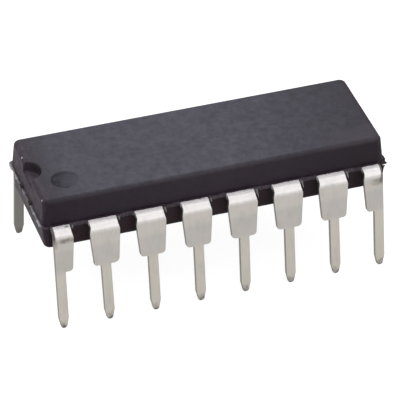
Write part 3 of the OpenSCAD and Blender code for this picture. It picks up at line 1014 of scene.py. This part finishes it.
def tin_exit(m, out):
    """The flat exits: pale as painted light, greyer by the body as a painted reflection of its dark
    side, and with dark marks.
    """
    marks = m.noise(3.3, 4, 0.7, stretch=(0.7, 3.0, 1.0), seed=19.0)
    marks = m.ramp(marks, 1, 0, 0.34, 0.46)
    marks = m.times(marks, m.ramp(out, 1, 0.2, BODY_SIDE + 0.2, BODY_SIDE + 0.27))
    marks = m.math("MAXIMUM", marks, m.blob(EXIT_SPOT, EXIT_SPOT_SIZE))
    body_reflection_reach = m.ramp(out, 1, 0, BODY_SIDE + 0.24, BODY_SIDE + 0.34)
    tone = m.mix(body_reflection_reach, TIN["exit"], TIN["exit_body_reflection"])
    return m.mix(marks, tone, TIN["exit_mark"])


def resin_films(m, out, height):
    """How far resin covers a lead: by the body, and over the outer edges of the end leads."""
    creep = m.noise(2.6, 4, 0.7, stretch=(1.0, 0.0, 0.0), seed=27.0)
    creep = m.ramp(creep, -0.04, 0.04, 0.3, 0.7)
    edge = BODY_SIDE + BLEED
    by_body = m.ramp(m.math("ADD", out, creep), 1, 0, edge - 0.02, edge + 0.02)
    rim = m.ramp(m.off_middle("X"), 0, 0.9, RIM_FILM_X, RIM_FILM_X + 0.05)
    rim = m.times(rim, m.ramp(height, 0, 1, BEND_Z - 0.25, BEND_Z + 0.1))
    return by_body, rim


def tin_material():
    """Satin tin plating: rolling lines, cloudy tarnish, bends brightened as a painted highlight, pale
    marked exits under a film of resin, their paleness painted light, painted shade on the inner
    faces, dark sheared edges, stained bends on leads 1 and 8, and bare, dirty tips."""
    m = Nodes("tin_plating")
    clouds = m.noise(0.9, 4, 0.6, seed=4.0)
    lines = m.noise(7.0, 3, 0.6, stretch=(1.0, 0.12, 0.12), seed=6.0)
    grain = m.noise(22.0, 3, 0.6, seed=8.0)
    height = m.axis("Z")
    out = m.off_middle("Y")
    at_exit = m.ramp(out, 1, 0, *EXITS)
    by_body, rim = resin_films(m, out, height)
    film = m.math("MAXIMUM", by_body, rim)
    ragged = m.noise(5.0, 3, 0.6, seed=9.0)
    ragged = m.math("ADD", height, m.ramp(ragged, -0.22, 0.22, 0.3, 0.7))
    tip = m.ramp(ragged, 1, 0, 0.08, 0.52)
    very_end = m.ramp(ragged, 0.7, 0, 0.0, 0.22)

    tone = tin_by_height(m, clouds, height)
    tone = tin_wear(m, tone, lines)
    tone = tin_by_facing(m, tone, height)
    # Painted light on the flat exits, with a painted reflection of the body next to it
    tone = m.mix(at_exit, tone, tin_exit(m, out))
    tone = m.mix(by_body, tone, TIN["resin_film"])
    tone = m.mix(rim, tone, TIN["rim_film"])
    tone = m.mix(m.times(tip, 0.68), tone, TIN["tip"])
    tone = m.mix(very_end, tone, TIN["very_end"])

    matte = m.math("ADD", m.ramp(clouds, 0.3, 0.4, 0.3, 0.7), m.ramp(grain, -0.04, 0.06, 0.3, 0.7))
    matte = m.math("ADD", matte, m.times(tip, 0.2))
    matte = m.math("ADD", matte, m.times(at_exit, 0.2))
    matte = m.math("ADD", matte, m.ramp(height, 0, 0.11, BEND_Z - 0.1, BEND_Z + 0.1))
    metallic = m.math("SUBTRACT", m.ramp(at_exit, 1.0, 0.3), film, clamp=True)
    m.set(Base_Color=tone, Metallic=metallic, Roughness=matte)
    m.set(Specular_IOR_Level=m.ramp(film, 0.5, 0.25))
    soft = m.bump(m.noise(1.6, 2, 0.5, seed=11.0), 0.014)
    m.set(Normal=m.bump(m.math("ADD", lines, grain), 0.0025, normal=soft))
    return m.material


# The finishes of what is sealed inside

# The tone of the ends of the tie bars, which come through the end faces
TIE_END_TONE = rgb(0.05, 0.04, 0.04)


def inner_material(name, tone_a, tone_b, metallic, roughness, scale):
    """Clouded, finely grained, and tarnished dark where it comes out of the body."""
    m = Nodes(name)
    clouds = m.noise(scale, 4, 0.6, seed=scale)
    grain = m.noise(scale * 9, 3, 0.6, seed=scale + 1)
    tone = m.mix(clouds, rgb(*tone_a), rgb(*tone_b))
    outside = m.math("GREATER_THAN", m.off_middle("X"), BODY_LENGTH / 2 - 0.2)
    tone = m.mix(outside, tone, TIE_END_TONE)
    m.set(Base_Color=tone, Metallic=metallic)
    m.set(Roughness=m.ramp(grain, roughness - 0.06, roughness + 0.1, 0.3, 0.7))
    m.set(Normal=m.bump(grain, 0.002))
    return m.material


def dress_inner_nodes():
    """Finishes on the part's own solids: the die pad, the adhesive, the die and the wires."""
    copper = inner_material("lead_frame_copper", (0.55, 0.28, 0.17), (0.72, 0.4, 0.26), 1.0, 0.45, 2.0)
    glue = inner_material("silver_adhesive", (0.42, 0.42, 0.44), (0.6, 0.6, 0.62), 0.3, 0.55, 5.0)
    silicon = inner_material("silicon", (0.07, 0.08, 0.12), (0.12, 0.13, 0.17), 0.6, 0.18, 3.0)
    gold = inner_material("gold", (0.8, 0.56, 0.18), (0.9, 0.68, 0.28), 1.0, 0.25, 6.0)
    finishes = {"die_pad": copper, "die_attach": glue, "silicon_die": silicon}
    for name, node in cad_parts.items():
        finish = finishes.get(name, gold if name.startswith("bond_wire") else None)
        if finish:
            node.data.materials.clear()
            node.data.materials.append(finish)


# Floor, lights and camera, in metres

FLOOR_HALF = 3.0
FLOOR_GLOW = 0.86
FLOOR_GLOW_IN_METAL = 0.62
FLOOR_ALBEDO = 0.3
WORLD_IN_GLOSS = 0.62
WORLD_FILL = 0.35

# Soft lights, as (name, place, size, radiance, tint), and the place they all aim at
LIGHTS = (
    ("overhead_softbox", (-0.02, 0.05, 0.36), (0.5, 0.36), 1.5, (1.0, 0.99, 1.02)),
    ("back_softbox", (-0.17, 0.42, 0.28), (0.75, 0.3), 1.95, (0.98, 0.98, 1.06)),
    ("front_softbox", (0.14, -0.4, 0.3), (0.85, 0.56), 1.5, (1.0, 0.99, 0.98)),
)
LIGHTS_AIM = (0, 0, 0.006)


def strength_by_ray(tree, seen, in_gloss, as_light):
    """A strength for the camera's rays, another for gloss and glass, and a third for lighting."""
    path = tree.nodes.new("ShaderNodeLightPath")
    either = tree.nodes.new("ShaderNodeMath")
    either.operation = "MAXIMUM"
    tree.links.new(path.outputs["Is Glossy Ray"], either.inputs[0])
    tree.links.new(path.outputs["Is Transmission Ray"], either.inputs[1])
    unseen = tree.nodes.new("ShaderNodeMix")
    tree.links.new(either.outputs[0], unseen.inputs[0])
    unseen.inputs[2].default_value = as_light
    unseen.inputs[3].default_value = in_gloss
    strength = tree.nodes.new("ShaderNodeMix")
    tree.links.new(path.outputs["Is Camera Ray"], strength.inputs[0])
    tree.links.new(unseen.outputs[0], strength.inputs[2])
    strength.inputs[3].default_value = seen
    return strength.outputs[0]


def floor_material():
    """Pale and matte, and brightened so that it meets the background without a line."""
    material = bpy.data.materials.new("pale_floor")
    material.use_nodes = True
    tree = material.node_tree
    tree.nodes.remove(tree.nodes["Principled BSDF"])
    output = tree.nodes["Material Output"]
    diffuse = tree.nodes.new("ShaderNodeBsdfDiffuse")
    diffuse.inputs["Color"].default_value = rgb(FLOOR_ALBEDO, FLOOR_ALBEDO, FLOOR_ALBEDO)
    glow = tree.nodes.new("ShaderNodeEmission")
    glow.inputs["Color"].default_value = rgb(1, 1, 1)
    strength = strength_by_ray(tree, FLOOR_GLOW, FLOOR_GLOW_IN_METAL, 0.0)
    tree.links.new(strength, glow.inputs["Strength"])
    both = tree.nodes.new("ShaderNodeAddShader")
    tree.links.new(diffuse.outputs[0], both.inputs[0])
    tree.links.new(glow.outputs[0], both.inputs[1])
    tree.links.new(both.outputs[0], output.inputs["Surface"])
    return material


def make_floor():
    """A plain floor, wide enough to reach the edges of every view."""
    bm = bmesh.new()
    bmesh.ops.create_grid(bm, x_segments=8, y_segments=8, size=FLOOR_HALF / MM)
    floor = to_object("studio_floor", bm, floor_material())


def make_world():
    """White where it is seen, greyer in the gloss of surfaces, and a soft fill for its light."""
    world = bpy.data.worlds.new("studio")
    bpy.context.scene.world = world
    world.use_nodes = True
    tree = world.node_tree
    background = tree.nodes["Background"]
    background.inputs["Color"].default_value = rgb(1, 1, 1)
    strength = strength_by_ray(tree, 1.0, WORLD_IN_GLOSS, WORLD_FILL)
    tree.links.new(strength, background.inputs["Strength"])


def make_lights():
    """Rectangular soft lights. Each one's radiance is that of its face, in the world's units."""
    for name, at, size, radiance, tint in LIGHTS:
        data = bpy.data.lights.new(name, "AREA")
        data.shape = "RECTANGLE"
        data.size, data.size_y = size
        data.energy = radiance * size[0] * size[1] * math.pi
        data.color = tint
        light = bpy.data.objects.new(name, data)
        light.location = at
        aim = Vector(LIGHTS_AIM) - Vector(at)
        light.rotation_euler = aim.to_track_quat("-Z", "Y").to_euler()
        bpy.context.scene.collection.objects.link(light)


def make_camera():
    """The photograph's camera."""
    a, e, roll = (math.radians(d) for d in (CAMERA_AZIMUTH, CAMERA_ELEVATION, CAMERA_ROLL))
    forward = Vector((math.sin(a) * math.cos(e), math.cos(a) * math.cos(e), -math.sin(e)))
    level = Vector((math.cos(a), -math.sin(a), 0))
    upright = level.cross(forward)
    right = level * math.cos(roll) + upright * math.sin(roll)
    up = upright * math.cos(roll) - level * math.sin(roll)
    data = bpy.data.cameras.new("photo_camera")
    data.sensor_width = SENSOR_MM
    data.lens = FOCAL_PIXELS * SENSOR_MM / IMAGE_PIXELS
    data.shift_x = -MOVED_RIGHT / IMAGE_PIXELS
    data.clip_start, data.clip_end = 0.01, 20
    camera = bpy.data.objects.new("photo_camera", data)
    turn = Matrix((right, up, -forward)).transposed()
    camera.matrix_world = Matrix.Translation(Vector(CAMERA_AT) * MM) @ turn.to_4x4()
    bpy.context.scene.collection.objects.link(camera)
    bpy.context.scene.camera = camera


make_camera()
resin = resin_material()
broken_resin = flash_material()
tin = tin_material()
make_body(resin)
make_end_flash("flash_notch_end", -1, NOTCH_END_BULGES, 1, broken_resin)
make_end_flash("flash_far_end", 1, FAR_END_BULGES, 2, broken_resin)
make_flake(broken_resin)
make_side_flash("flash_front_row", -1, broken_resin)
make_side_flash("flash_back_row", 1, broken_resin)
for number in range(1, 2 * LEADS_PER_ROW + 1):
    make_lead(number, tin)
dress_inner_nodes()
make_floor()
make_world()
make_lights()
bpy.context.scene.view_settings.view_transform = "Standard"
